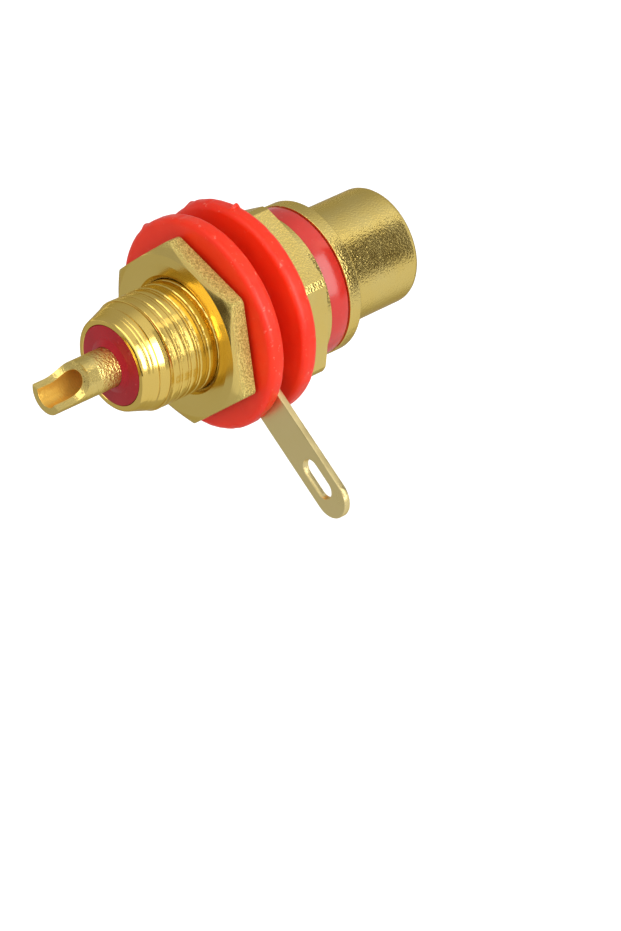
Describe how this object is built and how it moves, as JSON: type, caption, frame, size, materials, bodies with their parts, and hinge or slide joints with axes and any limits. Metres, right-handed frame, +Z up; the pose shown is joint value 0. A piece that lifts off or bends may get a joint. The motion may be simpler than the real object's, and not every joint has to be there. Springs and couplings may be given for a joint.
{
  "type": "phono socket",
  "caption": "Panel-mount coaxial phono socket with a gold-plated barrel and threaded shank, red insulating washers, a nut, a swivelling solder tag and a solder cup.",
  "frame": {"origin": "on the axis, in the plane where the front washer's rear face meets the panel", "axes": "+Y along the axis from the mouth to the solder cup, +Z up"},
  "size_m": [0.0202, 0.0293, 0.0174],
  "materials": {
    "gold_plate": "thin gold plating on turned brass, bright with a fine orange-peel grain",
    "red_plastic": "moulded orange-red plastic, semi-gloss",
    "liner_plastic": "moulded red plastic, semi-gloss",
    "crimson_plastic": "moulded crimson plastic, semi-gloss"
  },
  "bodies": {
    "socket": {"shell": "gold_plate", "colour_ring": "red_plastic", "front_insulator": "liner_plastic", "centre_contact": "gold_plate", "rear_insulator": "crimson_plastic", "front_washer": "red_plastic"},
    "clamp": {"rear_washer": "red_plastic"},
    "nut": {"nut": "gold_plate"},
    "tag": {"solder_tag": "gold_plate"}
  },
  "joints": [
    {"name": "clamp_slide", "type": "slide", "parent": "socket", "child": "clamp", "axis": [0, 1, 0], "range_m": [0, 0.0045]},
    {"name": "nut_turn", "type": "hinge", "parent": "clamp", "child": "nut", "pos_m": [0, 0.00392, 0], "axis": [0, 1, 0], "range_deg": [0, 2160]},
    {"name": "tag_swivel", "type": "hinge", "parent": "clamp", "child": "tag", "pos_m": [0, 0.00131, 0], "axis": [0, 1, 0], "continuous": true}
  ],
  "couplings": [
    {"joint": "nut_turn", "follows": "clamp_slide", "rad_per_m": 8377.6}
  ]
}
